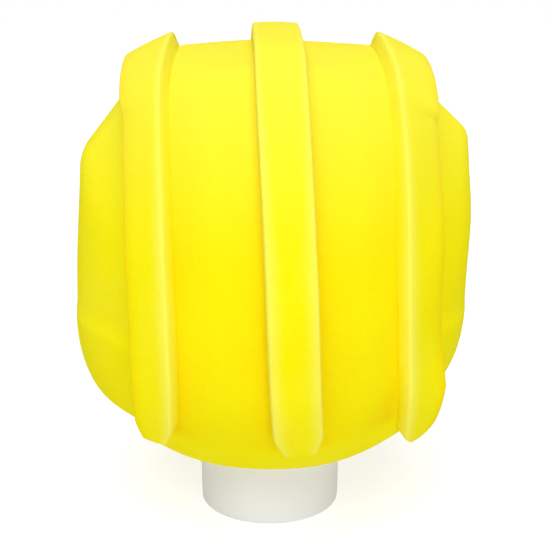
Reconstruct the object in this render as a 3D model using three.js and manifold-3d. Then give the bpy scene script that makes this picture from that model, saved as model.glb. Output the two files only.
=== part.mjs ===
// A foam sponge head on a white collar. Millimetres, +Z up, the front faces -Y.
// The foam body stands on a hub, a foam strap lies over it from front to back, and
// three foam ribs run along the strap.

import * as THREE from "three";
import { mergeVertices } from "three/addons/utils/BufferGeometryUtils.js";
import Module from "manifold-3d";

const wasm = await Module();
wasm.setup();

const DEG = Math.PI / 180;
const GAP = 0.35; // clearance between neighbouring solids
const STRAP_GAP = 0.6; // clearance under the strap, which bends more
const ROUND_STEPS = 48;
const ACROSS_STEPS = 12;

// The strap's outer middle line, from the crest down one side, as arcs that follow each
// other smoothly: [radius, the line's turn at the arc's end in degrees].
const CREST_Z = 116.9;
const LINE_ARCS = [[82, 17], [14, 60], [100, 90], [80, 98], [37, 180]];
const CREST_ARC = 0;
const WALL_ARC = 2;
const BOWL_ARC = 3;
const STRAP_END_TURN = 156;
const RIB_END_TURN = 123;

// Widths across the strap are lengths along its surface, from its own middle.
const CREST_EDGE = 37.2; // the strap's half width on the crest and on the wall
const WALL_EDGE = 36.2;
const BOWL_EDGES = [36.4, 33]; // and in the bowl, away from and towards its drift
const UNDER_SPLAY = 1.6; // how far the strap's underside reaches past its top edge on the crest
const STRAP_THICKNESS = 3.1;
const WALL_RUNS = [0, 38]; // the foam takes its shape on the wall between these runs
const BOWL_RUNS = [90, 125]; // and its shape in the bowl between these
const WALL_ROUND = 43; // radius across the strap on the wall
const BOWL_ROUND = 58;
const CREST_TILTS = [4.5, 27]; // how far the crest tilts at the outer ribs' roots and under them
const SIDE_TILTS = [52, 42, 38]; // the bare foam's tilt beyond the strap: crest, wall and bowl
const RIGHT_CREST_TILT = 42; // the right shoulder is the fuller one
const LEAN = 1.4; // the foam leans this far to +X over the hub
const LEAN_HEIGHTS = [30, 90];

const RIB_THICKNESS = 3.8;
const CENTRE_RIB_HALF_WIDTH = 5.5;
const CREST_ROOT = 22.9; // where an outer rib starts across the strap
const WALL_ROOT = 25.6;
const BOWL_ROOTS = [27.9, 22.4];
const RIB_UNDERCUT = 1.9; // how far an outer rib's far face leans in on the crest
const RIB_END_REACHES = [3, 15]; // how much further the outer ribs run than the centre rib
const RIB_END_SLANTS = [0.2, 0.15];
const RIB_END_ZONE = 35;
const RIB_TAPER_LENGTH = 5;
const RIB_TAPER_SHARE = 0.37; // how much of its width a rib loses at its cut corners
const FAR_TAPER_LENGTHS = [5, 14]; // the same on the outer ribs' far edges
const FAR_TAPER_SHARES = [0.37, 0.9];

const BODY_MIDDLE_Z = 60;
const BODY_BOTTOM_Z = 14;
const BODY_HALF_WIDTH = 48.3;
const BODY_INSET = 1.6; // how much narrower the body is at its top on each side
const BODY_INSET_HEIGHTS = [50, 100];
const BODY_HALF_DEPTH = 44;
const BOWL_INSET = 27; // how far the body draws in below this height, as a quarter ellipse
const BOWL_TOP_Z = 50;
const BOWL_HEIGHT = 36;

const COLLAR_RADIUS = 18;
const COLLAR_FOOT_RADIUS = 17.7;
const COLLAR_WALL = 2.4;
const COLLAR_HEIGHT = 24;
const SOCKET_OUTER_RADIUS = COLLAR_RADIUS - COLLAR_WALL - 0.8;
const SOCKET_INNER_RADIUS = 12;
const SOCKET_FOOT_Z = 1.5;
const SOCKET_ROOF_Z = 58;
const SOCKET_TOP_Z = 64;
const DISC_RADIUS = 24;
const DISC_THICKNESS = 3;
const WASHER_RADIUS = 7;
const WASHER_THICKNESS = 1.2;
const SCREW_RADIUS = 2;
const SCREW_HEAD_RADIUS = 4;
const SCREW_HEAD_HEIGHT = 2.6;
const SCREW_DEPTH = 10;

const DISC_Z = SOCKET_TOP_Z + GAP;
const WASHER_Z = DISC_Z + DISC_THICKNESS + GAP;
const SCREW_HEAD_Z = WASHER_Z + WASHER_THICKNESS + GAP;
const SCREW_TIP_Z = SCREW_HEAD_Z - SCREW_DEPTH;
const SCREW_TOP_Z = SCREW_HEAD_Z + SCREW_HEAD_HEIGHT;

const mix = THREE.MathUtils.lerp;
const arcs = traceLine();
const strapEnd = runAtTurn(STRAP_END_TURN);
const ribEnd = runAtTurn(RIB_END_TURN);

// Each arc of the middle line with where it starts: run is the length from the crest, and
// reach is the distance from the plane y = 0.
function traceLine() {
  const traced = [];
  let turn = 0;
  let run = 0;
  let reach = 0;
  let z = CREST_Z;
  for (const [radius, endDegrees] of LINE_ARCS) {
    const end = endDegrees * DEG;
    const centreReach = reach - radius * Math.sin(turn);
    const centreZ = z - radius * Math.cos(turn);
    traced.push({ radius, turn, end, run, centreReach, centreZ });
    run += radius * (end - turn);
    reach = centreReach + radius * Math.sin(end);
    z = centreZ + radius * Math.cos(end);
    turn = end;
  }
  return traced;
}

function runAtTurn(degrees) {
  const turn = degrees * DEG;
  const arc = arcs.find((candidate) => turn <= candidate.end);
  return arc.run + arc.radius * (turn - arc.turn);
}

// The strap lies a little askew, so it drifts sideways along its run.
function driftAt(run) {
  return run * (0.03 + 0.00024 * Math.abs(run));
}

function leanAt(z) {
  return LEAN * THREE.MathUtils.smoothstep(z, ...LEAN_HEIGHTS);
}

// The point at a run along the line (positive to the front), x across it, raised off it.
function pointOverLine(run, x, rise) {
  const length = Math.abs(run);
  const arc = arcs.findLast((candidate) => candidate.run <= length);
  const turn = arc.turn + (length - arc.run) / arc.radius;
  const reach = arc.centreReach + (arc.radius + rise) * Math.sin(turn);
  const z = arc.centreZ + (arc.radius + rise) * Math.cos(turn);
  return new THREE.Vector3(x + leanAt(z), -Math.sign(run) * reach, z);
}

// For each arc that a point counts for, how far the point is above it (negative inside) and
// at which run. The crest's arc and the wall's arc also count past the shoulder between
// them, so that deep inside the foam they meet in a crease.
function placesOverLine(y, z) {
  const places = [];
  arcs.forEach((arc, index) => {
    const reach = Math.abs(y) - arc.centreReach;
    const height = z - arc.centreZ;
    const turn = Math.atan2(reach, height);
    const first = index === CREST_ARC || index === WALL_ARC ? -Math.PI : arc.turn;
    const last = index === CREST_ARC || index === BOWL_ARC ? Math.PI : arc.end;
    if (turn >= first && turn <= last) {
      const rise = Math.hypot(reach, height) - arc.radius;
      const travel = THREE.MathUtils.clamp(turn, arc.turn, arc.end) - arc.turn;
      places.push({ rise, run: -Math.sign(y) * (arc.run + arc.radius * travel) });
    }
  });
  return places;
}

// A value that changes smoothly from the crest to the wall to the bowl.
function along(run, crest, wall, bowl) {
  const toWall = THREE.MathUtils.smoothstep(Math.abs(run), ...WALL_RUNS);
  const toBowl = THREE.MathUtils.smoothstep(Math.abs(run), ...BOWL_RUNS);
  return mix(mix(crest, wall, toWall), bowl, toBowl);
}

// How far the strap's surface tilts at a length across it from the foam's middle.
function tiltAt(across, run) {
  const own = across - driftAt(run);
  const gentle = CREST_TILTS[0] * THREE.MathUtils.clamp(own / CREST_ROOT, -1, 1);
  const folded = THREE.MathUtils.smoothstep(Math.abs(own), CREST_ROOT - 2, CREST_ROOT + 1);
  const crest = gentle + Math.sign(own) * (CREST_TILTS[1] - CREST_TILTS[0]) * folded;
  return along(run, crest * DEG, across / WALL_ROUND, across / BOWL_ROUND);
}

// A point on the strap's outer surface at a length across it from its own middle, as x
// across and rise over the middle line, with the surface's tilt there.
function surfaceAt(across, run) {
  const end = across + driftAt(run);
  const step = end / ACROSS_STEPS;
  let x = 0;
  let rise = 0;
  for (let i = 0; i < ACROSS_STEPS; i += 1) {
    const tilt = tiltAt((i + 0.5) * step, run);
    x += step * Math.cos(tilt);
    rise -= step * Math.sin(tilt);
  }
  return { run, x, rise, tilt: tiltAt(end, run) };
}

function raised({ run, x, rise, tilt }, height, sideways = 0) {
  return [
    run,
    x + height * Math.sin(tilt) + sideways * Math.cos(tilt),
    rise + height * Math.cos(tilt) - sideways * Math.sin(tilt),
  ];
}

// The first of a pair away from the strap's drift, and the second towards it.
function byDrift([away, towards], side, run) {
  return mix(away, towards, (Math.sign(side) * Math.sign(run) + 1) / 2);
}

function edgeAt(side, run) {
  return along(run, CREST_EDGE, WALL_EDGE, byDrift(BOWL_EDGES, side, run));
}

function rootAt(side, run) {
  return along(run, CREST_ROOT, WALL_ROOT, byDrift(BOWL_ROOTS, side, run));
}

// A point in or under the strap, at a length across it and a depth under its top. Its
// edges are cut upright on the crest, so the underside is the wider there.
function underStrap(across, run, depth) {
  const splay = along(run, UNDER_SPLAY, 0, 0) * (across / edgeAt(across, run)) ** 4;
  return raised(surfaceAt(across, run), -depth, Math.sign(across) * splay);
}

// The bare foam under and beside the strap, as its rise over the middle line at x.
function bodyRise(x, run) {
  const depth = STRAP_THICKNESS + STRAP_GAP;
  let [, innerX, innerRise] = underStrap(0, run, depth);
  const side = x < innerX ? -1 : 1;
  const edge = side * edgeAt(side, run);
  for (let share = 0.1; share <= 1.05; share += 0.1) {
    const [, outerX, outerRise] = underStrap(share * edge, run, depth);
    if (side * outerX >= side * x) {
      return mix(innerRise, outerRise, (x - innerX) / (outerX - innerX));
    }
    innerX = outerX;
    innerRise = outerRise;
  }
  const [crest, wall, bowl] = SIDE_TILTS;
  const tilt = along(run, side > 0 ? RIGHT_CREST_TILT : crest, wall, bowl);
  return innerRise - Math.abs(x - innerX) * Math.tan(tilt * DEG);
}

function bodyHalfWidth(z) {
  const below = THREE.MathUtils.clamp((BOWL_TOP_Z - z) / BOWL_HEIGHT, 0, 1);
  const bowl = BOWL_INSET * (1 - Math.sqrt(1 - below ** 2));
  const inset = BODY_INSET * THREE.MathUtils.smoothstep(z, ...BODY_INSET_HEIGHTS);
  return BODY_HALF_WIDTH - bowl - inset;
}

function insideBody(point) {
  const x = point.x - leanAt(point.z);
  const halfWidth = bodyHalfWidth(point.z);
  const halfDepth = halfWidth * BODY_HALF_DEPTH / BODY_HALF_WIDTH;
  const inPlan = Math.hypot(x / halfWidth, point.y / halfDepth) <= 1;
  if (point.z < BODY_BOTTOM_Z || !inPlan) {
    return false;
  }
  return placesOverLine(point.y, point.z).every(({ rise, run }) => rise <= bodyRise(x, run));
}

// A sphere whose every point is pushed out from the body's middle to the body's surface.
function bodyGeometry() {
  const sphere = new THREE.SphereGeometry(1, 56, 40).rotateX(Math.PI / 2);
  const middle = new THREE.Vector3(0, 0, BODY_MIDDLE_Z);
  const direction = new THREE.Vector3();
  const point = new THREE.Vector3();
  const position = sphere.getAttribute("position");
  for (let i = 0; i < position.count; i += 1) {
    direction.fromBufferAttribute(position, i).normalize();
    let low = 0;
    let high = 100;
    for (let step = 0; step < 20; step += 1) {
      const half = (low + high) / 2;
      point.copy(middle).addScaledVector(direction, half);
      if (insideBody(point)) {
        low = half;
      } else {
        high = half;
      }
    }
    point.copy(middle).addScaledVector(direction, low);
    position.setXYZ(i, point.x, point.y, point.z);
  }
  return sphere;
}

// Runs along the line that are close together where it bends tightly.
function runsTo(end, taper) {
  const spacing = [6, 2.2, 6, 4, 4];
  const runs = [0];
  arcs.forEach((arc, index) => {
    const length = arc.radius * (arc.end - arc.turn);
    const steps = Math.ceil(length / spacing[index]);
    for (let step = 1; step <= steps; step += 1) {
      runs.push(arc.run + length * step / steps);
    }
  });
  const kept = runs.filter((run) => run < end - taper - 0.5);
  const half = taper > 0 ? [...kept, end - taper, end] : [...kept, end];
  const back = half.slice(1).reverse().map((run) => -run);
  return [...back, ...half];
}

// A closed solid made of sections, each a loop of [run, x across, rise] points.
function sweep(runs, sectionAt) {
  const sections = runs.map(sectionAt);
  const size = sections[0].length;
  const points = [];
  for (const [run, x, rise] of sections.flat()) {
    points.push(...pointOverLine(run, x, rise).toArray());
  }
  const faces = [];
  for (let ring = 0; ring < runs.length - 1; ring += 1) {
    for (let i = 0; i < size; i += 1) {
      const a = ring * size + i;
      const b = ring * size + (i + 1) % size;
      faces.push(a, b, a + size, b, b + size, a + size);
    }
  }
  const last = (runs.length - 1) * size;
  const outline = (section) => section.map(([, x, rise]) => new THREE.Vector2(x, rise));
  for (const [a, b, c] of THREE.ShapeUtils.triangulateShape(outline(sections[0]), [])) {
    faces.push(c, b, a);
  }
  for (const [a, b, c] of THREE.ShapeUtils.triangulateShape(outline(sections.at(-1)), [])) {
    faces.push(last + a, last + b, last + c);
  }
  const geometry = new THREE.BufferGeometry();
  geometry.setAttribute("position", new THREE.Float32BufferAttribute(points, 3));
  geometry.setIndex(faces);
  geometry.computeVertexNormals();
  return geometry;
}

function strapSection(run) {
  const left = outerRibFoot(run, -1).map((length) => -length);
  const inner = [-0.67, -0.33, 0, 0.33, 0.67].map((share) => share * rootAt(share, run));
  const across = [...left.reverse(), ...inner, ...outerRibFoot(run, 1)];
  const under = across.map((length) => underStrap(length, run, STRAP_THICKNESS));
  const over = across.map((length) => raised(surfaceAt(length, run), 0));
  return [...under, ...over.reverse()];
}

function outerRibFoot(run, side) {
  const shares = [0, 1 / 3, 2 / 3, 1];
  return shares.map((share) => mix(rootAt(side, run), edgeAt(side, run), share));
}

// A point under a rib. Near their ends the outer ribs run on further than the centre rib.
function ribPoint(across, run, side) {
  const share = THREE.MathUtils.smoothstep(Math.abs(run), ribEnd - RIB_END_ZONE, ribEnd);
  const middle = (rootAt(side, run) + edgeAt(side, run)) / 2;
  const slant = byDrift(RIB_END_SLANTS, side, run) * (Math.abs(across) - middle);
  const further = Math.abs(side) * (byDrift(RIB_END_REACHES, side, run) + slant);
  return surfaceAt(across, run + Math.sign(run) * further * share);
}

function centreRibSection(run) {
  const w = CENTRE_RIB_HALF_WIDTH * endShare(run);
  const foot = [-w, 0, w].map((length) => raised(ribPoint(length, run, 0), GAP));
  const top = [w, -w].map((length) => raised(ribPoint(0, run, 0), RIB_THICKNESS, length));
  return [...foot, ...top];
}

// side is 1 for the rib on +X and -1 for the rib on -X.
function outerRibSection(run, side) {
  const lengths = outerRibFoot(run, side);
  const middle = (lengths[0] + lengths[3]) / 2;
  const undercut = along(run, RIB_UNDERCUT, 0, 0);
  const taper = [FAR_TAPER_LENGTHS, FAR_TAPER_SHARES].map((pair) => byDrift(pair, side, run));
  const nearShare = endShare(run);
  const farShare = endShare(run, ...taper);
  const shares = lengths.map((length) => (length > middle ? farShare : nearShare));
  const foot = lengths.map((length, index) => side * mix(middle, length, shares[index]));
  const near = raised(ribPoint(foot[0], run, side), RIB_THICKNESS);
  const far = raised(ribPoint(foot[3], run, side), RIB_THICKNESS, -side * undercut);
  const loop = [...foot.map((length) => raised(ribPoint(length, run, side), GAP)), far, near];
  return side > 0 ? loop : loop.reverse();
}

// What is left of a rib's half width near its ends, where its corners are cut off.
function endShare(run, length = RIB_TAPER_LENGTH, share = RIB_TAPER_SHARE) {
  const cut = Math.max(0, Math.abs(run) - ribEnd + length) / length;
  return 1 - share * cut;
}

function lathe(profile) {
  const points = profile.map(([radius, z]) => new THREE.Vector2(radius, z));
  return new THREE.LatheGeometry(points, ROUND_STEPS).rotateX(Math.PI / 2);
}

function collarGeometry() {
  const topInner = COLLAR_RADIUS - COLLAR_WALL;
  const footInner = COLLAR_FOOT_RADIUS - COLLAR_WALL;
  const foot = [[footInner + 0.5, 0], [COLLAR_FOOT_RADIUS - 0.5, 0], [COLLAR_FOOT_RADIUS, 0.5]];
  const top = [[COLLAR_RADIUS, COLLAR_HEIGHT], [topInner, COLLAR_HEIGHT], [footInner, 0.5]];
  return lathe([...foot, ...top, foot[0]]);
}

// The blind tube that a handle is pushed into, with a pilot hole for the screw in its roof.
function socketGeometry() {
  const bore = [[SCREW_RADIUS + GAP, SOCKET_ROOF_Z], [SOCKET_INNER_RADIUS, SOCKET_ROOF_Z]];
  const foot = [[SOCKET_INNER_RADIUS, SOCKET_FOOT_Z], [SOCKET_OUTER_RADIUS, SOCKET_FOOT_Z]];
  const top = [[SOCKET_OUTER_RADIUS, SOCKET_TOP_Z], [SCREW_RADIUS + GAP, SOCKET_TOP_Z]];
  return lathe([...bore, ...foot, ...top, bore[0]]);
}

function ringGeometry(radius, z, thickness) {
  const hole = SCREW_RADIUS + GAP;
  return lathe([[hole, z], [radius, z], [radius, z + thickness], [hole, z + thickness], [hole, z]]);
}

function screwGeometry() {
  const tip = [[0, SCREW_TIP_Z], [SCREW_RADIUS - 0.6, SCREW_TIP_Z], [SCREW_RADIUS, SCREW_TIP_Z + 1.5]];
  const head = [[SCREW_RADIUS, SCREW_HEAD_Z], [SCREW_HEAD_RADIUS, SCREW_HEAD_Z]];
  const top = [[SCREW_HEAD_RADIUS, SCREW_TOP_Z - 0.8], [SCREW_HEAD_RADIUS - 1, SCREW_TOP_Z]];
  return lathe([...tip, ...head, ...top, [0, SCREW_TOP_Z]]);
}

// The hollow in the foam body that the hub fills, open at the bottom.
function hubHollowGeometry() {
  const collar = COLLAR_RADIUS + GAP;
  const stem = SOCKET_OUTER_RADIUS + GAP;
  const disc = DISC_RADIUS + GAP;
  const head = WASHER_RADIUS + GAP;
  const low = BODY_BOTTOM_Z - 5;
  const discTop = DISC_Z + DISC_THICKNESS + GAP / 2;
  const profile = [
    [0, low], [collar, low], [collar, COLLAR_HEIGHT + GAP], [stem, COLLAR_HEIGHT + GAP],
    [stem, SOCKET_TOP_Z - GAP], [disc, SOCKET_TOP_Z - GAP], [disc, discTop], [head, discTop],
    [head, SCREW_TOP_Z + GAP], [0, SCREW_TOP_Z + GAP],
  ];
  return lathe(profile);
}

function toManifold(geometry) {
  const bare = new THREE.BufferGeometry();
  bare.setAttribute("position", geometry.getAttribute("position"));
  bare.setIndex(geometry.getIndex());
  const merged = mergeVertices(bare, 1e-4);
  const vertProperties = new Float32Array(merged.getAttribute("position").array);
  const triVerts = new Uint32Array(merged.getIndex().array);
  return new wasm.Manifold(new wasm.Mesh({ numProp: 3, vertProperties, triVerts }));
}

function cutOut(geometry, tool) {
  const mesh = toManifold(geometry).subtract(toManifold(tool)).getMesh();
  const result = new THREE.BufferGeometry();
  result.setAttribute("position", new THREE.BufferAttribute(mesh.vertProperties, 3));
  result.setIndex(new THREE.BufferAttribute(mesh.triVerts, 1));
  result.computeVertexNormals();
  return result;
}

const foam = { color: "#fff12a", roughness: 0.95, metalness: 0 };
const foamSide = { color: "#f6e81f", roughness: 0.95, metalness: 0 };
const whitePlastic = { color: "#f0f0f0", roughness: 0.42, metalness: 0 };
const greyPlastic = { color: "#d9dadb", roughness: 0.5, metalness: 0 };
const steel = { color: "#b9bcc0", roughness: 0.35, metalness: 1 };

const model = new THREE.Group();

function addPart(name, geometry, look) {
  const mesh = new THREE.Mesh(geometry, new THREE.MeshStandardMaterial(look));
  mesh.name = name;
  model.add(mesh);
}

addPart("collar", collarGeometry(), whitePlastic);
addPart("handle_socket", socketGeometry(), greyPlastic);
addPart("retaining_disc", ringGeometry(DISC_RADIUS, DISC_Z, DISC_THICKNESS), greyPlastic);
addPart("washer", ringGeometry(WASHER_RADIUS, WASHER_Z, WASHER_THICKNESS), steel);
addPart("disc_screw", screwGeometry(), steel);
addPart("foam_body", cutOut(bodyGeometry(), hubHollowGeometry()), foamSide);
addPart("foam_strap", sweep(runsTo(strapEnd, 0), strapSection), foam);
addPart("centre_rib", sweep(runsTo(ribEnd, RIB_TAPER_LENGTH), centreRibSection), foam);
addPart("left_rib", sweep(runsTo(ribEnd, RIB_TAPER_LENGTH), (run) => outerRibSection(run, -1)), foam);
addPart("right_rib", sweep(runsTo(ribEnd, RIB_TAPER_LENGTH), (run) => outerRibSection(run, 1)), foam);

export default model;
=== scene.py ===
"""The looks of a foam sponge head on a white collar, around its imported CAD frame.

Shapes are worked out in millimetres and made in metres. +Z is up and the front faces -Y.
"""

import math

import bpy
import numpy as np
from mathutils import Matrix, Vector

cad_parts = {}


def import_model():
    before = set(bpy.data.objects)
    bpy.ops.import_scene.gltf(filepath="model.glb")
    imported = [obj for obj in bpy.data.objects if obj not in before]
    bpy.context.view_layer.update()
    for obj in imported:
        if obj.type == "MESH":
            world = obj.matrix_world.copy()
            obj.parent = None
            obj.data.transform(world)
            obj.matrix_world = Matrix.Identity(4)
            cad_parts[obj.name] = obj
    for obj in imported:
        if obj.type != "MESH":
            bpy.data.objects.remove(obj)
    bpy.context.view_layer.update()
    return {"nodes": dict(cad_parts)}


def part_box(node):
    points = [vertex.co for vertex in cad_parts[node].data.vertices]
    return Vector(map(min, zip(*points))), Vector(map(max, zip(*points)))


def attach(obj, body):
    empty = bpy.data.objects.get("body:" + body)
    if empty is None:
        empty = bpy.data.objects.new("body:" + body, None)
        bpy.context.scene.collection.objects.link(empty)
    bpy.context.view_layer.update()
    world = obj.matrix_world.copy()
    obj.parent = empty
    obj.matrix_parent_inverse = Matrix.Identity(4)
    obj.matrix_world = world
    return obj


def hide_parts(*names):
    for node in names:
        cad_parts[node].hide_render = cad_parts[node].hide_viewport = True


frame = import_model()

MM = 0.001
DEG = math.pi / 180
FULL_TURN = 2 * math.pi


def low(node, axis):
    """The lowest coordinate of a CAD node on an axis, in millimetres."""
    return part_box(node)[0][axis] / MM


def high(node, axis):
    """The highest coordinate of a CAD node on an axis, in millimetres."""
    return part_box(node)[1][axis] / MM


# The strap's outer middle line, from the crest down one side, as arcs that follow each
# other smoothly: (radius, the line's turn at the arc's end in degrees).
CREST_Z = high("foam_strap", 2)
LINE_ARCS = ((82, 17), (14, 60), (100, 90), (80, 98), (37, 180))
STRAP_END_TURN = 156
RIB_END_TURN = 123

STRAP_HALF_WIDTH = 36.4  # of its mesh, before that is fitted to the strap's own edges
CREST_EDGE = 37.2  # the strap's half width on the crest
WALL_EDGES = (36.2, 37.5)  # and on the wall, on the left and on the right
BOWL_EDGES = (36.4, 33.0)  # and in the bowl, away from and towards its drift
UNDER_SPLAY = 1.6  # how far the strap's underside reaches past its top edge on the crest
STRAP_THICKNESS = 3.1
WALL_RUNS = (0, 38)
BOWL_RUNS = (90, 125)
WALL_ROUND = 43
BOWL_ROUND = 58
CREST_TILTS = (4.5, 27)
CREST_FOLD = (-2, 1)  # where the crest folds down, measured from the outer rib's start
SIDE_TILTS = (52, 42, 20)  # the bare foam's tilt beyond the strap: crest, wall and bowl
RIGHT_CREST_TILT = 42  # the right shoulder is the fuller one
DRIFT = 0.03  # the strap's sideways drift along its run, and how that grows
DRIFT_GROWTH = 0.00024
LEAN = 1.4
LEAN_HEIGHTS = (30, 90)

RIB_THICKNESS = high("centre_rib", 2) - CREST_Z
CENTRE_RIB_HALF_WIDTH = 5.5
OUTER_RIB_HALF_WIDTH = 5.4
CREST_ROOT = 22.9  # where an outer rib starts across the strap: crest, wall and bowl
WALL_ROOT = 25.6
BOWL_ROOTS = (27.9, 22.4)
RIB_UNDERCUT = 1.9
RIB_END_REACHES = (3, 15)  # how much further the outer ribs run than the centre rib
RIB_END_SLANTS = (0.2, 0.15)
RIB_END_ZONE = 35
RIB_TAPER_LENGTH = 5
RIB_TAPER_SHARE = 0.37
FAR_TAPER_LENGTHS = (5, 14)  # on the outer ribs' far edges, away from and towards the drift
FAR_TAPER_SHARES = (0.37, 0.9)
RIB_SINK = 0.45  # the glued foot of a rib, pressed into the strap
RIB_CROWN = 0.25
RIB_EDGE_HIGHLIGHT = 2.0  # how far the painted highlight along a rib's top edges reaches
FAR_EDGE_SHADE = 0.8  # how strong the painted shade is along an outer rib's far edge
RIB_EDGE_RADIUS = 0.7

STRAP_EDGE_RADIUS = 0.8
# how far the painted highlight on the strap's cut edges reaches
STRAP_EDGE_HIGHLIGHT = 0.9
GROOVE_SHADE_REACH = 4.5  # how far the painted shade spreads beside a rib
# how far past the ribs' ends the painted groove shade fades out
GROOVE_SHADE_FADE = 6
STRAP_SINK = 0.1  # how deep the strap's underside is pressed into the body

BODY_BOTTOM_Z = low("foam_body", 2)
BODY_MIDDLE_Z = 60
BODY_STEPS = (288, 200)  # around it and from top to bottom
BODY_REACH = 100  # farther from its middle than any of its points
BODY_HALVINGS = 22
UNDER_SLOPE = 0.8  # depth gained for each millimetre under the strap's surface
WAVE_LENGTH = 42
WAVE_HEIGHT = 0.35
BODY_HALF_WIDTH = 48.6
BODY_HALF_DEPTH = 45.4
BODY_INSET = 1.6
BODY_INSET_HEIGHTS = (50, 100)
BOWL_INSET = 27
BOWL_HEIGHT = 36
BOWL_TOP_Z = 50
BODY_EDGE_BLENDS = (10, 2.4)  # how far its edges are rounded, in the bowl and on top
BODY_EDGE_HEIGHTS = (45, 95)

COLLAR_RADIUS = high("collar", 0)
COLLAR_HEIGHT = high("collar", 2)
COLLAR_DRAFT = 0.3
COLLAR_WALL = 2.4
SOCKET_OUTER_RADIUS = high("handle_socket", 0)
SOCKET_INNER_RADIUS = 12
SOCKET_FOOT_Z = low("handle_socket", 2)
SOCKET_ROOF_Z = 58
SOCKET_TOP_Z = high("handle_socket", 2)
SCREW_HOLE_RADIUS = 2.35
HUB_CLEARANCE = 0.3
HOLLOW_OVERSHOOT = 5  # how far the tool that cuts the hollow starts below the foam
HOLLOW_STEPS = 96
COLLAR_STEPS = 160
SOCKET_STEPS = 128
DISC_RADIUS = high("retaining_disc", 0)
DISC_TOP_Z = high("retaining_disc", 2)
WASHER_RADIUS = high("washer", 0)
SCREW_TOP_Z = high("disc_screw", 2)

# The studio: metres, degrees, and millimetres for the lens and its sensor.
EYE = (0.00137, -0.260, 0.126)
EYE_DROP = 14.35  # how far the camera looks down
LENS = 70.1
SENSOR_WIDTH = 36
FLOOR_REACH = 6.0
FLOOR_GREY = 0.5
FLOOR_GLOW = 0.33
FLOOR_GLOW_SEEN = 0.35  # added where the camera sees the floor
WORLD_STRENGTH = 0.35


# --- The foam's shape: close to the CAD's surface, worked out on whole arrays ---


def mix(a, b, share):
    """A value between a and b."""
    return a + (b - a) * share


def smoothstep(value, start, end):
    """0 before the start, 1 past the end and smooth between them."""
    share = np.clip((value - start) / (end - start), 0, 1)
    return share * share * (3 - 2 * share)


def trace_line():
    """Each arc of the middle line: radius, turns, run at its start and its centre."""
    turn, run, reach, z = 0.0, 0.0, 0.0, CREST_Z
    rows = []
    for radius, end_degrees in LINE_ARCS:
        end = end_degrees * DEG
        centre_reach = reach - radius * math.sin(turn)
        centre_z = z - radius * math.cos(turn)
        rows.append((radius, turn, end, run, centre_reach, centre_z))
        run += radius * (end - turn)
        reach = centre_reach + radius * math.sin(end)
        z = centre_z + radius * math.cos(end)
        turn = end
    return np.array(rows)


CREST_ARC, WALL_ARC, BOWL_ARC, LAST_ARC = 0, 2, 3, 4
ARCS = trace_line()
ARC_RADIUS, ARC_TURN, ARC_END, ARC_RUN, ARC_REACH, ARC_Z = ARCS.T


def run_at_turn(degrees):
    """The run at which the line has turned by an angle."""
    turn = degrees * DEG
    arc = int(np.argmax(turn <= ARC_END))
    return ARC_RUN[arc] + ARC_RADIUS[arc] * (turn - ARC_TURN[arc])


STRAP_END = run_at_turn(STRAP_END_TURN)
RIB_END = run_at_turn(RIB_END_TURN)


def drift_at(run):
    """The strap lies a little askew, so it drifts sideways along its run."""
    return run * (DRIFT + DRIFT_GROWTH * np.abs(run))


def lean_at(z):
    """How far the foam leans to the right at a height."""
    return LEAN * smoothstep(z, *LEAN_HEIGHTS)


def over_line(run, x, rise):
    """Points at a run along the line (positive to the front), x across it, raised off it."""
    length = np.abs(run)
    arc = np.searchsorted(ARC_RUN, length, side="right") - 1
    turn = ARC_TURN[arc] + (length - ARC_RUN[arc]) / ARC_RADIUS[arc]
    reach = ARC_REACH[arc] + (ARC_RADIUS[arc] + rise) * np.sin(turn)
    z = ARC_Z[arc] + (ARC_RADIUS[arc] + rise) * np.cos(turn)
    return np.stack([x + lean_at(z), -np.sign(run) * reach, z], axis=-1)


def counted_turns(index, start, end):
    """The turns between which points count for an arc.

    The crest's and the wall's arcs also count past the shoulder between them, the bowl's
    arc past its end, and the last arc past the lowest point. Otherwise places deep inside
    the foam, and under its middle, would have no arc near them.
    """
    if index == CREST_ARC:
        return -math.pi, math.pi
    if index == WALL_ARC:
        return -math.pi, end
    if index == BOWL_ARC:
        return start, math.pi
    if index == LAST_ARC:
        return start, FULL_TURN - start
    return start, end


def places_over_line(y, z):
    """For each arc, how far points are above it (negative inside), and at which run."""
    places = []
    for index, (radius, start, end, run_start, centre_reach, centre_z) in enumerate(ARCS):
        reach = np.abs(y) - centre_reach
        height = z - centre_z
        turn = np.arctan2(reach, height)
        if index == LAST_ARC:
            turn = turn % FULL_TURN
        first, last = counted_turns(index, start, end)
        counts = (turn >= first) & (turn <= last)
        rise = np.where(counts, np.hypot(reach, height) - radius, -np.inf)
        run = run_start + radius * (np.clip(turn, start, end) - start)
        places.append((rise, np.where(y > 0, -run, run)))
    return places


def along(run, crest, wall, bowl):
    """A value that changes smoothly from the crest to the wall to the bowl."""
    to_wall = smoothstep(np.abs(run), *WALL_RUNS)
    to_bowl = smoothstep(np.abs(run), *BOWL_RUNS)
    return mix(mix(crest, wall, to_wall), bowl, to_bowl)


def tilt_at(across, run):
    """How far the strap's surface tilts at a length across it."""
    own = across - drift_at(run)
    gentle = CREST_TILTS[0] * np.clip(own / CREST_ROOT, -1, 1)
    folded = smoothstep(np.abs(own) - CREST_ROOT, *CREST_FOLD)
    crest = gentle + np.sign(own) * (CREST_TILTS[1] - CREST_TILTS[0]) * folded
    return along(run, crest * DEG, across / WALL_ROUND, across / BOWL_ROUND)


def surface_at(across, run, steps=24):
    """Points on the strap's outer surface: run, x across, rise over the line, tilt."""
    end = across + drift_at(run)
    step = end / steps
    x = np.zeros(np.broadcast(across, run).shape)
    rise = np.zeros(x.shape)
    for i in range(steps):
        tilt = tilt_at((i + 0.5) * step, run)
        x += step * np.cos(tilt)
        rise -= step * np.sin(tilt)
    return run, x, rise, tilt_at(end, run)


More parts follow.
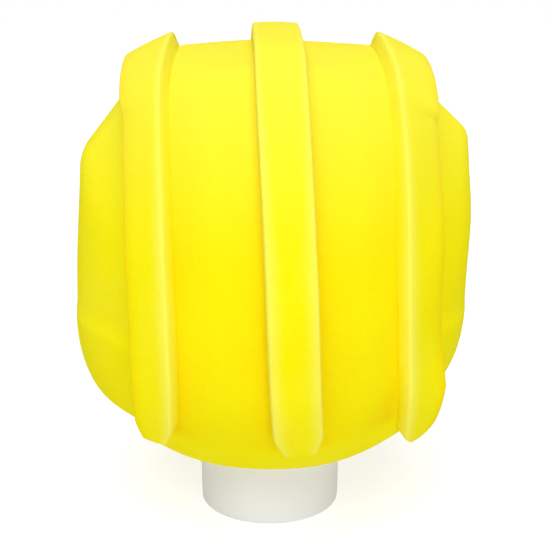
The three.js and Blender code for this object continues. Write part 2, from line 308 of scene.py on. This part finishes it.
def raised(point, height, sideways=0.0):
    """Surface points moved off the surface and along it: run, x across, rise."""
    run, x, rise, tilt = point
    moved_x = x + height * np.sin(tilt) + sideways * np.cos(tilt)
    moved_rise = rise + height * np.cos(tilt) - sideways * np.sin(tilt)
    return np.stack(np.broadcast_arrays(run, moved_x, moved_rise))


def by_drift(pair, side, run):
    """The first of a pair away from the strap's drift, and the second towards it."""
    return mix(pair[0], pair[1], (np.sign(side) * np.sign(run) + 1) / 2)


def edge_at(side, run):
    """The strap's half width on a side."""
    wall = mix(*WALL_EDGES, (np.sign(side) + 1) / 2)
    return along(run, CREST_EDGE, wall, by_drift(BOWL_EDGES, side, run))


def root_at(side, run):
    """Where the outer rib on a side starts."""
    return along(run, CREST_ROOT, WALL_ROOT, by_drift(BOWL_ROOTS, side, run))


def strap_at(share, run, depth):
    """Points in the strap, at a share of its half width and a depth under its top."""
    side = np.sign(share)
    across = share * edge_at(side, run)
    splay = along(run, UNDER_SPLAY, 0, 0) * share**4 * depth / STRAP_THICKNESS
    return raised(surface_at(across, run), -depth, side * splay)


def rib_point(across, run, hand=0):
    """A point under a rib, which near its ends runs on further than the centre rib does."""
    share = smoothstep(np.abs(run), RIB_END - RIB_END_ZONE, RIB_END)
    middle = (root_at(hand, run) + edge_at(hand, run)) / 2
    slant = by_drift(RIB_END_SLANTS, hand, run) * (np.abs(across) - middle)
    further = abs(hand) * (by_drift(RIB_END_REACHES, hand, run) + slant)
    return surface_at(across, run + np.sign(run) * further * share)


def end_share(run, length=RIB_TAPER_LENGTH, share=RIB_TAPER_SHARE):
    """What is left of a rib's half width near its ends, where its corners are cut."""
    cut = np.maximum(0, np.abs(run) - RIB_END + length) / length
    return 1 - share * cut


def hand_cut(points):
    """Foam's points moved in and out a little, as foam is never cut quite evenly."""
    x, y, z = (points * (FULL_TURN / WAVE_LENGTH)).T
    broad = np.sin(x + 0.7 * y + 1.3) * np.sin(0.8 * y - z + 0.4)
    fine = np.sin(1.7 * z - 0.6 * x + 2.1) * np.cos(1.3 * y + 0.5 * x)
    out = points - np.array([0, 0, BODY_MIDDLE_Z])
    out /= np.linalg.norm(out, axis=1, keepdims=True)
    return points + out * (WAVE_HEIGHT * (0.6 * broad + 0.4 * fine))[:, None]


# --- Meshes ---


def add_mesh(name, points, faces, smooth=True):
    """An object in the scene from points in millimetres and lists of corners."""
    mesh = bpy.data.meshes.new(name)
    mesh.from_pydata((np.asarray(points) * MM).tolist(), [], faces)
    mesh.polygons.foreach_set("use_smooth", [smooth] * len(mesh.polygons))
    mesh.update()
    piece = bpy.data.objects.new(name, mesh)
    bpy.context.scene.collection.objects.link(piece)
    return piece


def stand_for(piece, node):
    """Hides a CAD node and attaches the piece that takes its place."""
    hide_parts(node)
    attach(piece, "root")


def make_object(name, points, quads, node, material_slot):
    """A smooth piece that stands for a CAD node."""
    piece = add_mesh(name, points, quads.tolist())
    stand_for(piece, node)
    return piece


def set_painted_light(piece, painted_light):
    """Stores the painted light at each point of a mesh: how far the foam's colour is lightened as
    a painted highlight (1) or deepened as painted shade (-1).
    """
    attribute = piece.data.attributes.new("painted_light", "FLOAT", "POINT")
    attribute.data.foreach_set("value", np.clip(painted_light, -1, 1).astype(np.float32))


def box_shell(lines):
    """The surface of a box that is cut at three lists of places: its points and quads."""
    sizes = [len(line) for line in lines]
    grid = np.indices(sizes)
    ends = [(grid[axis] == 0) | (grid[axis] == sizes[axis] - 1) for axis in range(3)]
    outer = np.any(ends, axis=0)
    index = np.full(sizes, -1)
    index[outer] = np.arange(outer.sum())
    points = np.stack([lines[axis][grid[axis][outer]] for axis in range(3)], axis=-1)
    quads = []
    for axis in range(3):
        for end in (0, -1):
            sheet = np.take(index, end, axis=axis)
            a, b = sheet[:-1, :-1], sheet[1:, :-1]
            c, d = sheet[1:, 1:], sheet[:-1, 1:]
            loop = (a, b, c, d) if (axis == 1) == (end == 0) else (a, d, c, b)
            quads.append(np.stack(loop, axis=-1).reshape(-1, 4))
    return points, np.concatenate(quads)


def cuts(half, radius, step):
    """Places from -half to half, close together where the edge is rounded."""
    edge = half - radius * np.array([0.7, 0.42, 0.18, 0])
    inner = half - radius
    count = max(2, math.ceil(2 * inner / step) + 1)
    return np.concatenate([-edge[::-1], np.linspace(-inner, inner, count), edge])


def rounded_slab(half_sizes, radius, steps):
    """A box with rounded edges about the origin: run, across and height, and its quads."""
    lines = [cuts(half, radius, step) for half, step in zip(half_sizes, steps)]
    points, quads = box_shell(lines)
    inner = np.clip(points, radius - half_sizes, half_sizes - radius)
    out = points - inner
    out *= radius / np.linalg.norm(out, axis=1, keepdims=True)
    return (inner + out).T, quads


def lathe(profile, steps):
    """A closed profile of (radius, z) turned about Z: its points and quads."""
    profile = np.array(profile)
    turns = np.arange(steps) * FULL_TURN / steps
    radius, z = profile[:, 0], profile[:, 1]
    around = np.stack([np.cos(turns), np.sin(turns)], axis=-1)
    plan = around[:, None, :] * radius[None, :, None]
    heights = np.broadcast_to(z[None, :, None], (steps, len(z), 1))
    points = np.concatenate([plan, heights], axis=-1).reshape(-1, 3)
    ring, spot = np.meshgrid(np.arange(steps), np.arange(len(z)), indexing="ij")
    next_ring, next_spot = (ring + 1) % steps, (spot + 1) % len(z)
    corners = [ring * len(z) + spot, next_ring * len(z) + spot]
    corners += [next_ring * len(z) + next_spot, ring * len(z) + next_spot]
    return points, np.stack(corners, axis=-1).reshape(-1, 4)


def rounded_profile(corners, steps=5):
    """A closed profile with its corners rounded: corners are (radius, z, rounding)."""
    places = np.array([corner[:2] for corner in corners], float)
    rounded = []
    for i, (_, _, rounding) in enumerate(corners):
        here = places[i]
        before = places[i - 1] - here
        after = places[(i + 1) % len(places)] - here
        start = here + before * rounding / np.linalg.norm(before)
        end = here + after * rounding / np.linalg.norm(after)
        for share in np.linspace(0, 1, steps if rounding else 1):
            rounded.append(mix(mix(start, here, share), mix(here, end, share), share))
    return rounded


# --- The foam pieces ---


def strap():
    """The strap, with a painted highlight on its cut edges and painted shade in the grooves beside
    the ribs.
    """
    half = np.array([STRAP_END, STRAP_HALF_WIDTH, (STRAP_THICKNESS + STRAP_SINK) / 2])
    (run, across, height), quads = rounded_slab(half, STRAP_EDGE_RADIUS, (1.2, 0.9, 0.8))
    share = across / STRAP_HALF_WIDTH
    points = hand_cut(over_line(*strap_at(share, run, half[2] - height)))
    piece = make_object("strap_foam", points, quads, "foam_strap", "yellow_foam")
    root = root_at(share, run)
    to_centre_rib = np.abs(np.abs(across) - CENTRE_RIB_HALF_WIDTH)
    to_outer_rib = np.abs(np.abs(across) - root)
    to_edge = np.hypot(STRAP_HALF_WIDTH - np.abs(across), height - half[2])
    on_ribs = smoothstep(np.abs(run), RIB_END + GROOVE_SHADE_FADE, RIB_END)
    # Painted shade in the grooves beside the ribs, fading out past their ends, and a painted
    # highlight on the cut edges.
    groove_shade = np.exp(-np.minimum(to_centre_rib, to_outer_rib) / GROOVE_SHADE_REACH) * on_ribs
    set_painted_light(piece, np.exp(-((to_edge / STRAP_EDGE_HIGHLIGHT) ** 2)) - groove_shade)
    return piece


def rib(name, node, hand, place, half_width):
    """A rib, where place maps run, sideways share and height to the foam's surface.

    hand is 1 for the rib on +X, -1 for the rib on -X and 0 for the centre rib.
    """
    half = np.array([RIB_END, half_width, (RIB_THICKNESS + RIB_SINK) / 2])
    (run, across, height), quads = rounded_slab(half, RIB_EDGE_RADIUS, (1.2, 0.8, 0.7))
    side = across / half_width
    up = (height + half[2] - RIB_SINK) / RIB_THICKNESS
    crown = RIB_CROWN * (1 - side**2) * np.clip(up, 0, 1)
    run, x, rise = place(run, side, up)
    points = hand_cut(over_line(run, x, rise + crown))
    piece = make_object(name, points, quads, node, "yellow_foam")
    # Painted light on the rib's top edges: a painted highlight on the centre rib's edges and on
    # the outer ribs' near edges, and painted shade along the outer ribs' far edges.
    to_edge = np.hypot(half_width - np.abs(across), half[2] - height)
    edge = np.exp(-((to_edge / RIB_EDGE_HIGHLIGHT) ** 2))
    outward = smoothstep(side * hand, 0, 0.5)
    set_painted_light(piece, edge * (1 - outward) - FAR_EDGE_SHADE * edge * outward)
    return piece


def place_centre_rib(run, side, up):
    """Places in the centre rib: run, x across and rise."""
    width = side * CENTRE_RIB_HALF_WIDTH * end_share(run)
    foot = raised(rib_point(width, run), 0.0)
    top = raised(rib_point(np.zeros_like(run), run), RIB_THICKNESS, width)
    return mix(foot, top, up)


def place_outer_rib(hand):
    """The place of the rib on +X (hand 1) or on -X (hand -1)."""

    def place(run, side, up):
        root, edge = root_at(hand, run), edge_at(hand, run)
        middle = hand * (root + edge) / 2
        near_half = (edge - root) / 2 * end_share(run)
        taper = [by_drift(pair, hand, run) for pair in (FAR_TAPER_LENGTHS, FAR_TAPER_SHARES)]
        far_half = (edge - root) / 2 * end_share(run, *taper)
        own_half = np.where(side * hand > 0, far_half, near_half)
        foot = raised(rib_point(middle + side * own_half, run, hand), 0.0)
        undercut = along(run, RIB_UNDERCUT, 0, 0)
        near = raised(rib_point(middle - hand * near_half, run, hand), RIB_THICKNESS)
        far_point = rib_point(middle + hand * far_half, run, hand)
        far = raised(far_point, RIB_THICKNESS, -hand * undercut)
        top = mix(near, far, (side * hand + 1) / 2)
        return mix(foot, top, up)

    return place


def body_rise_table(runs, xs):
    """The bare foam's rise over the line, on a grid of runs and places across."""
    share, run = np.meshgrid(np.linspace(-1, 1, 41), runs)
    _, under_x, under_rise = strap_at(share, run, STRAP_THICKNESS)
    left_slopes = np.tan(along(runs, *SIDE_TILTS) * DEG)
    right_slopes = np.tan(along(runs, RIGHT_CREST_TILT, *SIDE_TILTS[1:]) * DEG)
    table = []
    for row_x, row_rise, left, right in zip(under_x, under_rise, left_slopes, right_slopes):
        drop = left * np.maximum(0, row_x[0] - xs) + right * np.maximum(0, xs - row_x[-1])
        table.append(np.interp(xs, row_x, row_rise) - drop)
    return np.array(table)


BODY_RUNS = np.linspace(-ARC_RUN[-1] - 100, ARC_RUN[-1] + 100, 401)
BODY_XS = np.linspace(-60, 60, 241)
BODY_RISES = body_rise_table(BODY_RUNS, BODY_XS)


def body_rise(x, run):
    """The bare foam's rise over the line, read from the table."""
    column = np.clip((x - BODY_XS[0]) / (BODY_XS[1] - BODY_XS[0]), 0, len(BODY_XS) - 1.001)
    row = np.clip((run - BODY_RUNS[0]) / (BODY_RUNS[1] - BODY_RUNS[0]), 0, len(BODY_RUNS) - 1.001)
    i, j = row.astype(int), column.astype(int)
    near_row = mix(BODY_RISES[i, j], BODY_RISES[i, j + 1], column - j)
    far_row = mix(BODY_RISES[i + 1, j], BODY_RISES[i + 1, j + 1], column - j)
    return mix(near_row, far_row, row - i)


def soft_least(a, b, blend):
    """The lesser of two depths, with the edge where they meet rounded off."""
    share = np.clip(0.5 + (b - a) / (2 * blend), 0, 1)
    return mix(b, a, share) - blend * share * (1 - share)


def body_depth(points):
    """How deep points are inside the foam body, negative outside."""
    x, y, z = points.T
    x = x - lean_at(z)
    below = np.clip((BOWL_TOP_Z - z) / BOWL_HEIGHT, 0, 1)
    bowl = BOWL_INSET * (1 - np.sqrt(1 - below**2))
    half_width = BODY_HALF_WIDTH - bowl - BODY_INSET * smoothstep(z, *BODY_INSET_HEIGHTS)
    half_depth = half_width * BODY_HALF_DEPTH / BODY_HALF_WIDTH
    in_plan = (1 - np.hypot(x / half_width, y / half_depth)) * half_width
    under = np.full(x.shape, np.inf)
    for rise, run in places_over_line(y, z):
        under = np.minimum(under, UNDER_SLOPE * (body_rise(x, run) - rise))
    blend = mix(*BODY_EDGE_BLENDS, smoothstep(z, *BODY_EDGE_HEIGHTS))
    depth = soft_least(in_plan, under, blend)
    return soft_least(depth, z - BODY_BOTTOM_Z, BODY_EDGE_BLENDS[1])


def directions_all_round(around, up):
    """Directions on rings from top to bottom, and then straight up and straight down."""
    turns = np.arange(around) * FULL_TURN / around
    heights = (np.arange(1, up)) * math.pi / up
    turn, height = np.meshgrid(turns, heights)
    plan = np.sin(height)
    rings = np.stack([plan * np.cos(turn), plan * np.sin(turn), np.cos(height)], axis=-1)
    return np.concatenate([rings.reshape(-1, 3), [[0, 0, 1], [0, 0, -1]]])


def faces_all_round(around, up):
    """The faces that join the points in those directions."""
    rings = np.arange((up - 1) * around).reshape(up - 1, around)
    turned = np.roll(rings, -1, axis=1)
    quads = np.stack([rings[:-1], rings[1:], turned[1:], turned[:-1]], axis=-1).reshape(-1, 4)
    top = (up - 1) * around
    bottom = top + 1
    faces = quads.tolist()
    faces += [[top, a, b] for a, b in zip(rings[0], turned[0])]
    faces += [[bottom, b, a] for a, b in zip(rings[-1], turned[-1])]
    return faces


def body():
    """The foam body: in each direction, its surface is found by halving the distance."""
    directions = directions_all_round(*BODY_STEPS)
    middle = np.array([0, 0, BODY_MIDDLE_Z])
    near, far = np.zeros(len(directions)), np.full(len(directions), float(BODY_REACH))
    for _ in range(BODY_HALVINGS):
        half = (near + far) / 2
        inside = body_depth(middle + directions * half[:, None]) > 0
        near, far = np.where(inside, half, near), np.where(inside, far, half)
    points = hand_cut(middle + directions * near[:, None])
    piece = add_mesh("body_foam", points, faces_all_round(*BODY_STEPS))
    hollow_out(piece)
    stand_for(piece, "foam_body")
    set_painted_light(piece, np.zeros(len(piece.data.vertices)))
    return piece


def hollow_out(piece):
    """Cuts the hub's hollow into the foam body."""
    collar = COLLAR_RADIUS + HUB_CLEARANCE
    stem = SOCKET_OUTER_RADIUS + HUB_CLEARANCE
    disc = DISC_RADIUS + HUB_CLEARANCE
    head = WASHER_RADIUS + HUB_CLEARANCE
    below = BODY_BOTTOM_Z - HOLLOW_OVERSHOOT
    profile = [
        (0, below), (collar, below), (collar, COLLAR_HEIGHT + HUB_CLEARANCE),
        (stem, COLLAR_HEIGHT + HUB_CLEARANCE), (stem, SOCKET_TOP_Z), (disc, SOCKET_TOP_Z),
        (disc, DISC_TOP_Z), (head, DISC_TOP_Z), (head, SCREW_TOP_Z + HUB_CLEARANCE),
        (0, SCREW_TOP_Z + HUB_CLEARANCE),
    ]
    points, quads = lathe(profile, HOLLOW_STEPS)
    tool = add_mesh("hub_hollow", points, quads.tolist(), smooth=False)
    tool.data.validate()
    cut = piece.modifiers.new("hub_hollow", "BOOLEAN")
    cut.operation = "DIFFERENCE"
    cut.solver = "EXACT"
    cut.object = tool
    evaluated = piece.evaluated_get(bpy.context.evaluated_depsgraph_get())
    piece.data = bpy.data.meshes.new_from_object(evaluated)
    piece.modifiers.clear()
    bpy.data.objects.remove(tool)


# --- The moulded hub ---


def collar():
    """The collar: a plain sleeve with a slight draft and a rounded foot."""
    foot = COLLAR_RADIUS - COLLAR_DRAFT
    profile = rounded_profile([
        (foot, 0, 1.0), (COLLAR_RADIUS, COLLAR_HEIGHT, 0.6),
        (COLLAR_RADIUS - COLLAR_WALL, COLLAR_HEIGHT, 0.6), (foot - COLLAR_WALL, 0, 0.6),
    ])
    return make_object("collar_moulding", *lathe(profile, COLLAR_STEPS), "collar", "white_plastic")


def socket():
    """The blind tube that takes the handle, with the screw's hole in its roof."""
    profile = rounded_profile([
        (SCREW_HOLE_RADIUS, SOCKET_ROOF_Z, 0), (SOCKET_INNER_RADIUS, SOCKET_ROOF_Z, 0.8),
        (SOCKET_INNER_RADIUS, SOCKET_FOOT_Z, 0.5), (SOCKET_OUTER_RADIUS, SOCKET_FOOT_Z, 0.5),
        (SOCKET_OUTER_RADIUS, SOCKET_TOP_Z, 0.6), (SCREW_HOLE_RADIUS, SOCKET_TOP_Z, 0),
    ])
    points, quads = lathe(profile, SOCKET_STEPS)
    return make_object("socket_moulding", points, quads, "handle_socket", "inner_plastic")


# --- Materials ---


# A colour mix node has a set of sockets for each kind of value. These are its colour ones.
MIX_A, MIX_B, MIX_RESULT = 6, 7, 2


class Nodes:
    """A material's node tree with short ways to add and join nodes."""

    def __init__(self, name):
        self.material = bpy.data.materials.new(name)
        self.material.use_nodes = True
        self.tree = self.material.node_tree
        self.shader = self.tree.nodes["Principled BSDF"]
        coordinates = self.tree.nodes.new("ShaderNodeTexCoord")
        self.place = coordinates.outputs["Object"]

    def add(self, kind, settings=(), **inputs):
        """Adds a node. In the names of inputs, _ stands for a space."""
        node = self.tree.nodes.new(kind)
        for name, value in dict(settings).items():
            setattr(node, name, value)
        for name, value in inputs.items():
            self.feed(node.inputs[name.replace("_", " ")], value)
        return node

    def feed(self, socket, value):
        """Joins a socket to another node's output or sets it to a constant."""
        if isinstance(value, bpy.types.NodeSocket):
            self.tree.links.new(value, socket)
        else:
            socket.default_value = value

    def noise(self, scale, detail=3.0):
        node = self.add("ShaderNodeTexNoise", Vector=self.place, Scale=scale, Detail=detail)
        return node.outputs["Fac"]

    def math(self, operation, a, b):
        node = self.add("ShaderNodeMath", {"operation": operation})
        self.feed(node.inputs[0], a)
        self.feed(node.inputs[1], b)
        return node.outputs[0]

    def mix_colour(self, share, a, b):
        node = self.add("ShaderNodeMix", {"data_type": "RGBA"})
        self.feed(node.inputs["Factor"], share)
        self.feed(node.inputs[MIX_A], a)
        self.feed(node.inputs[MIX_B], b)
        return node.outputs[MIX_RESULT]

    def bump(self, height, strength, distance):
        node = self.add("ShaderNodeBump", Height=height, Strength=strength, Distance=distance)
        self.feed(self.shader.inputs["Normal"], node.outputs["Normal"])

    def set(self, **values):
        """Sets inputs of the shader."""
        for name, value in values.items():
            self.feed(self.shader.inputs[name.replace("_", " ")], value)


# GOLDEN carries the painted shade and the deeper random patches, LEMON the painted highlights, the
# painted top light and the lighter random patches.
GOLDEN = (0.95, 0.72, 0.002, 1)
YELLOW = (0.97, 0.86, 0.003, 1)
LEMON = (0.98, 0.90, 0.10, 1)
WHITE = (0.97, 0.98, 1.0, 1)
INNER_GREY = (0.69, 0.70, 0.71, 1)
DARK_STEEL = (0.50, 0.51, 0.53, 1)
LIGHT_STEEL = (0.62, 0.63, 0.65, 1)
SUBSURFACE_RADIUS = (1.0, 0.75, 0.15)
TOP_LIGHT_START = 0.068  # the height in metres from which top light is painted on, turning the foam paler
TOP_LIGHT_END = 0.125
TOP_LIGHT_SHARE = 0.55


def foam_material():
    """Fine open-cell foam with tiny cells: golden where shade is painted in its grooves, lemon
    where highlights are painted on its cut edges and where top light is painted towards its top.
    """
    m = Nodes("yellow_foam")
    painted_light = m.add("ShaderNodeAttribute", {"attribute_name": "painted_light"}).outputs["Fac"]
    patches = m.math("MULTIPLY", m.math("SUBTRACT", m.noise(45.0), 0.5), 0.5)
    grain = m.math("MULTIPLY", m.math("SUBTRACT", m.noise(700.0), 0.5), 0.25)
    # Random patches and grain plus the painted light stored on each mesh: below zero it draws the
    # colour to golden as painted shade, above zero to lemon as painted highlight.
    patches_and_painted_light = m.math("ADD", m.math("ADD", patches, grain), painted_light)
    deep = m.math("MAXIMUM", m.math("MULTIPLY", patches_and_painted_light, -1.0), 0.0)
    light = m.math("MAXIMUM", patches_and_painted_light, 0.0)
    colour = m.mix_colour(deep, YELLOW, GOLDEN)
    # More lemon towards the top, as painted top light.
    colour = m.mix_colour(m.math("MAXIMUM", light, painted_top_light(m)), colour, LEMON)
    m.set(Base_Color=colour, Roughness=0.92, Specular_IOR_Level=0.05)
    m.set(Subsurface_Weight=0.15, Subsurface_Scale=0.0015, Subsurface_Radius=SUBSURFACE_RADIUS)
    cells = m.add("ShaderNodeTexVoronoi", {"feature": "SMOOTH_F1"}, Vector=m.place, Scale=2300.0)
    m.bump(m.math("ADD", cells.outputs["Distance"], m.noise(1500.0)), 0.25, 0.0002)
    return m.material


def painted_top_light(m):
    """How much paler the foam is painted towards its top, as painted top light."""
    height = m.add("ShaderNodeSeparateXYZ", Vector=m.place).outputs["Z"]
    top_light = m.add("ShaderNodeMapRange", {"interpolation_type": "SMOOTHSTEP"}, Value=height)
    top_light.inputs["From Min"].default_value = TOP_LIGHT_START
    top_light.inputs["From Max"].default_value = TOP_LIGHT_END
    top_light.inputs["To Max"].default_value = TOP_LIGHT_SHARE
    return top_light.outputs["Result"]


def plastic_material(name, colour, roughness):
    """Moulded plastic: a faint unevenness in its gloss and surface."""
    m = Nodes(name)
    cloud = m.noise(60.0)
    darker = tuple(0.95 * channel for channel in colour[:3]) + (1,)
    m.set(Base_Color=m.mix_colour(cloud, colour, darker))
    rough = m.math("ADD", m.math("MULTIPLY", m.noise(300.0), 0.12), roughness - 0.06)
    m.set(Roughness=rough)
    m.bump(m.noise(1800.0), 0.06, 0.0001)
    return m.material


def steel_material():
    """Zinc-plated steel with fine turning marks."""
    m = Nodes("steel")
    place = m.add("ShaderNodeMapping", Vector=m.place)
    place.inputs["Scale"].default_value = (1, 1, 12)
    marks = m.add("ShaderNodeTexNoise", Vector=place.outputs[0], Scale=900.0).outputs["Fac"]
    m.set(Base_Color=m.mix_colour(marks, DARK_STEEL, LIGHT_STEEL))
    m.set(Metallic=1.0, Roughness=m.math("ADD", m.math("MULTIPLY", marks, 0.2), 0.25))
    return m.material


def floor_material():
    """A pale floor that glows a little, so that it stays white under the foam's shade."""
    m = Nodes("floor")
    m.set(Base_Color=(FLOOR_GREY, FLOOR_GREY, FLOOR_GREY, 1), Roughness=0.9)
    m.set(Emission_Color=(1, 1, 1, 1))
    rays = m.add("ShaderNodeLightPath").outputs["Is Camera Ray"]
    seen = m.math("MULTIPLY", rays, FLOOR_GLOW_SEEN)
    m.set(Emission_Strength=m.math("ADD", seen, FLOOR_GLOW))
    return m.material


def paint(piece, material):
    """Gives a piece one material."""
    piece.data.materials.clear()
    piece.data.materials.append(material)


# --- The studio ---


def world():
    """A white surround, brighter to the camera than to the foam."""
    scene = bpy.context.scene
    scene.view_settings.view_transform = "Standard"
    surround = bpy.data.worlds.new("studio")
    surround.use_nodes = True
    tree = surround.node_tree
    background = tree.nodes["Background"]
    background.inputs["Color"].default_value = (1, 1, 1, 1)
    rays = tree.nodes.new("ShaderNodeLightPath")
    strength = tree.nodes.new("ShaderNodeMix")
    strength.inputs["A"].default_value = WORLD_STRENGTH
    strength.inputs["B"].default_value = 1.0
    tree.links.new(rays.outputs["Is Camera Ray"], strength.inputs["Factor"])
    tree.links.new(strength.outputs["Result"], background.inputs["Strength"])
    scene.world = surround


def floor():
    """The ground that the collar stands on."""
    mesh = bpy.data.meshes.new("floor")
    corners = [(-1, -1), (1, -1), (1, 1), (-1, 1)]
    points = [(FLOOR_REACH * x, FLOOR_REACH * y, 0) for x, y in corners]
    mesh.from_pydata(points, [], [(0, 1, 2, 3)])
    ground = bpy.data.objects.new("floor", mesh)
    bpy.context.scene.collection.objects.link(ground)
    paint(ground, floor_material())


def sun(name, azimuth, elevation, strength, spread):
    """A far soft light. Azimuth 0 comes from the front and 90 from +X, in degrees."""
    light = bpy.data.lights.new(name, "SUN")
    light.energy = strength
    light.angle = spread * DEG
    lamp = bpy.data.objects.new(name, light)
    lamp.rotation_euler = ((90 - elevation) * DEG, 0, azimuth * DEG)
    bpy.context.scene.collection.objects.link(lamp)


def camera():
    """The camera, in front of the foam and a little above its top."""
    data = bpy.data.cameras.new("camera")
    data.lens = LENS
    data.sensor_width = SENSOR_WIDTH
    eye = bpy.data.objects.new("camera", data)
    eye.location = EYE
    eye.rotation_euler = ((90 - EYE_DROP) * DEG, 0, 0)
    bpy.context.scene.collection.objects.link(eye)
    bpy.context.scene.camera = eye


camera()
world()
floor()
sun("key_light", azimuth=-6, elevation=60, strength=2.12, spread=50)
sun("fill_light", azimuth=12, elevation=4, strength=0.66, spread=30)

foam = foam_material()
soft_pieces = [
    body(),
    strap(),
    rib("rib_foam_centre", "centre_rib", 0, place_centre_rib, CENTRE_RIB_HALF_WIDTH),
    rib("rib_foam_left", "left_rib", -1, place_outer_rib(-1), OUTER_RIB_HALF_WIDTH),
    rib("rib_foam_right", "right_rib", 1, place_outer_rib(1), OUTER_RIB_HALF_WIDTH),
]
for piece in soft_pieces:
    paint(piece, foam)

paint(collar(), plastic_material("white_plastic", WHITE, 0.42))
inner_plastic = plastic_material("inner_plastic", INNER_GREY, 0.5)
paint(socket(), inner_plastic)
paint(frame["nodes"]["retaining_disc"], inner_plastic)
steel = steel_material()
for node in ("washer", "disc_screw"):
    paint(frame["nodes"][node], steel)
